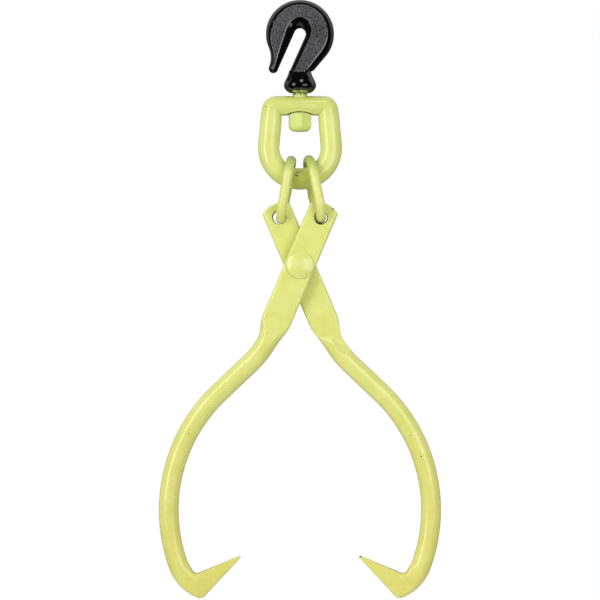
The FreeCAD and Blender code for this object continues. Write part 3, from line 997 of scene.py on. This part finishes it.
def makeArm(name, node, body, turned):
    bm = skinBar(armSections())
    hang = Matrix.Rotation(-math.radians(arm["halfAngle"]), 4, "Y")
    if turned:
        hang = Matrix.Rotation(math.pi, 4, "Z") @ hang
    hang = Matrix.Translation(up * joints["jaw_open"].z) @ hang
    bmesh.ops.transform(bm, matrix=hang, verts=bm.verts)
    piece = makePiece(name, bm, armEnamel)
    hole = hang @ (up * arm["holeReach"])
    drill = [(arm["holeRadius"], -20), (arm["holeRadius"], 20)]
    carvePiece(piece, roundPlug("holeCutter", hole, deep, drill))
    softenRim(piece, hole, arm["holeRadius"], arm["holeBevel"])
    smoothPiece(piece, 40)
    evenFaces(piece)
    fitPiece(piece, node, body)


makeArm("rearArmForging", "rear_arm", "rear_arm", False)
makeArm("frontArmForging", "front_arm", "front_arm", True)


# Pivot rivet: a low domed head on each side
rivet = {
    "radius": 6.0,
    "headRadius": 10.7,
    "domeRadius": 23.0,
    "rim": 1.5,
    "rimRound": 0.5,
}


def makeRivet():
    seatAt = arm["flatOut"]
    edge, rimRound = rivet["headRadius"], rivet["rimRound"]
    base = math.sqrt(rivet["domeRadius"] ** 2 - (edge - rimRound) ** 2)
    head = []  # from the dome's middle down to the flat
    for number in range(1, 15):
        radius = (edge - rimRound) * number / 14
        head.append((radius, rivet["rim"] + math.sqrt(rivet["domeRadius"] ** 2 - radius ** 2) - base))
    for number in range(1, 4):
        turn = math.pi / 2 * number / 3
        head.append((edge - rimRound * (1 - math.sin(turn)), rivet["rim"] - rimRound * (1 - math.cos(turn))))
    head.append((edge, 0.0))
    profile = [(radius, -seatAt - rise) for radius, rise in head]
    profile += [(rivet["radius"], -seatAt), (rivet["radius"], seatAt)]
    profile += [(radius, seatAt + rise) for radius, rise in reversed(head)]
    pivot = up * joints["jaw_open"].z
    piece = makePiece("pivotRivetHeads", skinBar(roundSections(pivot, deep, profile, 72)), rivetEnamel)
    fitPiece(piece, "pivot_rivet", "rear_arm")


makeRivet()


# Swivel bail: round bar bent to a D, swelling at the bored eye
bail = {
    "barRadius": 8.0,
    "legRadius": 8.6,
    "cornerBend": 3.0,
    "topHalfWidth": 22.2,
    "bowRadius": 25.2,
    "height": 33.45,
    "eyeSwell": 2.0,
    "eyeReach": 16.0,
    "underFlat": 0.5,
    "underEase": (2.0, 24.0),  # where the flattened underside runs out, past the top bar
    "legEase": 12.0,
    "boreRadius": 6.05,
    "pace": 1.2,
}
bailTop = joints["left_link_tilt"].z + bail["height"]


def bailSections():
    # the right half from the middle of the top bar to the foot of the bow, then its mirror image
    radius, bend, topHalf = bail["barRadius"], bail["cornerBend"], bail["topHalfWidth"]
    cornerReach = math.hypot(topHalf, bail["height"])
    lean = math.degrees(math.atan2(bail["height"], topHalf) - math.acos(bail["bowRadius"] / cornerReach))
    legLength = math.sqrt(cornerReach ** 2 - bail["bowRadius"] ** 2)
    cornerTurn = 90 - lean
    slope = math.tan(math.radians(cornerTurn / 2))
    topRun = topHalf - bend * slope
    bendLength = bend * math.radians(cornerTurn)
    legs = [
        (topRun, 0.0),
        (bendLength, -cornerTurn),
        (legLength - bend * slope, 0.0),
        (bail["bowRadius"] * math.radians(90 + lean), -90 - lean),
    ]
    half = []
    for place, heading, gone in walkBar(up * bailTop, 90.0, legs, bail["pace"]):
        swell = bail["eyeSwell"] * max(0.0, 1 - (gone / bail["eyeReach"]) ** 2) ** 2
        thick = mixed(radius, bail["legRadius"], eased(gone, topRun, topRun + bail["legEase"]))
        outline = barOutline(thick, thick + swell)
        underCap = mixed(radius - bail["underFlat"], radius + 2.0, eased(gone - topRun, *bail["underEase"]))
        points = []
        for offset in outline:
            offset.x = -softCap(-offset.x, underCap, 0.25)
            point = place + aside(heading) * offset.x + deep * offset.y
            # inside the tight corner both runs end at the mitre
            mitre = Vector((topHalf + offset.x * slope, offset.y, bailTop + offset.x))
            afterCorner = gone - topRun - bendLength + bend * slope
            onTop = gone <= topRun and place.x > mitre.x
            onBend = topRun < gone <= topRun + bendLength
            onLeg = gone > topRun + bendLength and afterCorner < -offset.x * slope
            if offset.x < -bend and (onTop or onBend or onLeg):
                point = mitre
            points.append(point)
        half.append(points)
    mirrored = [[Vector((-point.x, point.y, point.z)) for point in points] for points in half[-2:0:-1]]
    return half + mirrored


bailPiece = makePiece("swivelBailRing", skinBar(bailSections(), closed=True), bailEnamel)
mouth = seatRadius(seat["mouthZ"])
eyeProfile = [(mouth, -100.0), (mouth, seat["mouthZ"]), (seat["topRadius"], seat["topZ"])]
eyeProfile += [(bail["boreRadius"], seat["topZ"]), (bail["boreRadius"], -40.0)]
carvePiece(bailPiece, roundPlug("eyeCutter", Vector((0, 0, 0)), up, eyeProfile))
evenFaces(bailPiece)
fitPiece(bailPiece, "swivel_bail", "bail")


# Swivel bolt: hexagonal head under the bail's eye, plain shank into the boss
bolt = {
    "apothem": 8.8,
    "softness": 26.0,
    "turn": 5.0,
    "footRound": 4.6,
    "shankRadius": 6.0,
    "count": 96,
}


def hexOutline(apothem):
    points = []
    for number in range(bolt["count"]):
        turn = 2 * math.pi * number / bolt["count"]
        faces = [math.radians(60 * side - 60 + bolt["turn"]) for side in range(6)]
        pull = sum(max(0.0, math.cos(turn - face)) ** bolt["softness"] for face in faces)
        radius = apothem * pull ** (-1 / bolt["softness"])
        points.append(Vector((radius * math.cos(turn), radius * math.sin(turn))))
    return points


def makeBolt():
    low, high = (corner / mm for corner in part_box("swivel_bolt"))
    sections = []
    for number in range(9):
        turn = math.pi / 2 * number / 8
        apothem = bolt["apothem"] - bolt["footRound"] * (1 - math.sin(turn))
        level = low.z + bolt["footRound"] * (1 - math.cos(turn))
        plain = barOutline(apothem + 0.5, apothem + 0.5, 2.0, bolt["count"])
        outline = mixedOutline(plain, hexOutline(apothem), math.sin(turn))
        sections.append(setAt(up * level, right, outline))
    # the hexagon's upper end is turned to the cone of the bail's seat
    top = seat["topZ"] - seat["play"]
    for number in range(9):
        level = mixed(top - 4.0, top, number / 8)
        cone = seatRadius(level + seat["play"])
        outline = [point * min(1.0, cone / point.length) for point in hexOutline(bolt["apothem"])]
        sections.append(setAt(up * level, right, outline))
    shank = barOutline(bolt["shankRadius"], bolt["shankRadius"], 2.0, bolt["count"])
    for level in (top, high.z):
        sections.append(setAt(up * level, right, shank))
    piece = makePiece("swivelBoltBody", skinBar(sections), boltEnamel)
    evenFaces(piece)
    fitPiece(piece, "swivel_bolt", "hook")


makeBolt()


# Links: oval rings of round wire, welded on the rear flank
link = {
    "wire": 3.85,
    "centreRadius": 13.25,
    "spread": 34.0,
    "seatRadius": {-1: 12.65, 1: 12.1},
    "twist": {-1: 3.0, 1: 8.0},
    "holeRest": {-1: (0.9, -1.1), 1: (0.2, -1.2)},  # where each foot lies in its hole
    "topSway": 1.524,
    "beadRise": 0.5,
    "beadReach": 2.6,
    "beadDrop": 3.0,
    "paces": 22,
}


def linkSections(pitch):
    # the ring stands in YZ: up the rear flank, over the top, down the front and round the foot
    bend = link["centreRadius"]
    straight = pitch / 2 - bend
    lines = []
    for end in (1, -1):
        for number in range(link["paces"]):
            level = end * mixed(-straight, straight, number / link["paces"])
            lines.append((Vector((0, end * bend, level)), Vector((0, end, 0)), end > 0))
        for number in range(link["paces"]):
            turn = math.pi * number / link["paces"]
            outward = Vector((0, end * math.cos(turn), end * math.sin(turn)))
            lines.append((up * (end * straight) + outward * bend, outward, False))
    sections = []
    for place, outward, welded in lines:
        outline = barOutline(link["wire"], link["wire"])
        if welded:
            swell = math.exp(-((place.z + link["beadDrop"]) / link["beadReach"]) ** 2)
            for number, point in enumerate(outline):
                turn = 2 * math.pi * number / ringCount
                ragged = 0.7 + 0.3 * math.sin(3 * turn + 2.1 * place.z) + 0.2 * math.sin(7 * turn)
                point *= 1 + link["beadRise"] / link["wire"] * swell * ragged
        sections.append(setAt(place, outward, outline, right))
    return sections


def makeLink(name, node, body, side, hole):
    bow = joints["left_link_tilt"]
    top = bow + ahead(side * link["spread"]) * link["seatRadius"][side]
    top.y = side * link["topSway"]
    across, below = link["holeRest"][side]
    foot = Vector((hole.x + across, -side * (arm["flatIn"] + arm["flatOut"]) / 2, hole.z + below))
    lean = up.rotation_difference((top - foot).normalized()).to_matrix().to_4x4()
    twist = Matrix.Rotation(side * math.radians(link["twist"][side]), 4, "Z")
    bm = skinBar(linkSections((top - foot).length), closed=True)
    bmesh.ops.transform(bm, matrix=Matrix.Translation((top + foot) / 2) @ lean @ twist, verts=bm.verts)
    piece = makePiece(name, bm, wireEnamel)
    fitPiece(piece, node, body)


makeLink("leftLinkWire", "left_link", "left_link", -1, joints["rear_arm_hang"])
makeLink("rightLinkWire", "right_link", "right_link", 1, joints["right_link_hang"])


# Stage: pale floor, white surroundings, two soft boxes and a top light
stage = {
    "floorDrop": 0.11,
    "floorRadius": 0.42,
    "cameraBack": 2.0,
    "frameWidth": 0.4824,
    "frameMiddle": -0.2138,
    "sensor": 36.0,
    "ambientBelow": 0.25,
    "ambientAbove": 0.37,
    "ambientLeft": 1.85,
    "ambientRight": 0.95,
    "ambientBehind": 1.9,
    # what glossy paint mirrors, by depth and by height: from, to, and the share at each
    "mirrorNear": (-0.08, 0.15, 0.02, 1.0),
    "mirrorFar": (0.35, 0.8, 1.0, 0.3),
    "mirrorOver": (-0.5, 0.9, 0.1, 1.4),
    "floorGlow": 0.3,
    # place, aim, size and power
    "lamps": {
        "leftSoftBox": ((-0.80, -0.80, 0.05), (0, 0, -0.15), (0.40, 1.05), 6.3),
        "rightSoftBox": ((0.42, -0.60, -0.13), (0, 0, -0.17), (0.46, 0.56), 2.2),
        "topLight": ((0.16, -0.6, 0.75), (0, 0, -0.2), (0.3, 0.22), 1.2),
    },
}


def makeFloor():
    bm = bmesh.new()
    bmesh.ops.create_circle(bm, cap_ends=True, segments=96, radius=stage["floorRadius"])
    bmesh.ops.translate(bm, verts=bm.verts, vec=(0, 0, cadLow.z - stage["floorDrop"]))
    mesh = bpy.data.meshes.new("floor")
    bm.to_mesh(mesh)
    bm.free()
    floor = addObject("floor", mesh)
    material, tree, shader = newMaterial("palePaper")
    reach = axisReach(tree, coordsOf(tree, "Object"), (0, 0, 0), (1, 1, 0))
    rim = rangeOf(tree, reach, 0.2, stage["floorRadius"] * 0.98)
    shader.inputs["Base Color"].default_value = (0.9, 0.9, 0.9, 1)
    shader.inputs["Roughness"].default_value = 0.9
    seen = addNode(tree, "ShaderNodeLightPath").outputs["Is Camera Ray"]
    strength = rangeOf(tree, seen, 0.0, 1.0, stage["floorGlow"], 1.0)
    glow = addNode(tree, "ShaderNodeEmission", inputs={"Color": (1, 1, 1, 1), "Strength": strength})
    blend = addNode(tree, "ShaderNodeMixShader", inputs={0: rim, 1: shader.outputs[0], 2: glow.outputs[0]})
    tree.links.new(blend.outputs[0], tree.nodes["Material Output"].inputs["Surface"])
    mesh.materials.append(material)


def makeWorld():
    world = bpy.data.worlds.new("studio")
    bpy.context.scene.world = world
    world.use_nodes = True
    tree = world.node_tree
    back = tree.nodes["Background"]
    toward = coordsOf(tree, "Generated")
    sideways, depth, height = (axisOf(tree, toward, axis) for axis in "XYZ")
    path = addNode(tree, "ShaderNodeLightPath")
    near, far = rangeOf(tree, depth, *stage["mirrorNear"]), rangeOf(tree, depth, *stage["mirrorFar"])
    behind = allOf(tree, near, far, rangeOf(tree, height, *stage["mirrorOver"]))
    upper = rangeOf(tree, height, -1.0, 1.0, stage["ambientBelow"], stage["ambientAbove"])
    tilt = rangeOf(tree, sideways, -1.0, 1.0, stage["ambientLeft"], stage["ambientRight"])
    paper = rangeOf(tree, depth, 0.0, 1.0, 1.0, stage["ambientBehind"])
    ambient = numberMix(tree, path.outputs["Is Glossy Ray"], allOf(tree, upper, tilt, paper), behind)
    seen = numberMix(tree, path.outputs["Is Camera Ray"], ambient, 1.0)
    tree.links.new(seen, back.inputs["Strength"])
    back.inputs["Color"].default_value = (1, 1, 1, 1)


def addSoftBox(name, place, aim, size, power):
    lamp = bpy.data.lights.new(name, "AREA")
    lamp.shape = "RECTANGLE"
    lamp.size, lamp.size_y = size
    lamp.energy = power
    light = addObject(name, lamp)
    light.location = place
    light.rotation_euler = (Vector(aim) - Vector(place)).to_track_quat("-Z", "Y").to_euler()


makeFloor()
makeWorld()
for lampName, lampSettings in stage["lamps"].items():
    addSoftBox(lampName, *lampSettings)

cameraData = bpy.data.cameras.new("camera")
cameraData.sensor_width = stage["sensor"]
cameraData.lens = stage["sensor"] * stage["cameraBack"] / stage["frameWidth"]
camera = addObject("camera", cameraData)
camera.location = (0, -stage["cameraBack"], stage["frameMiddle"])
camera.rotation_euler = (math.pi / 2, 0, 0)
bpy.context.scene.camera = camera
bpy.context.scene.view_settings.view_transform = "Standard"
print("stage set")
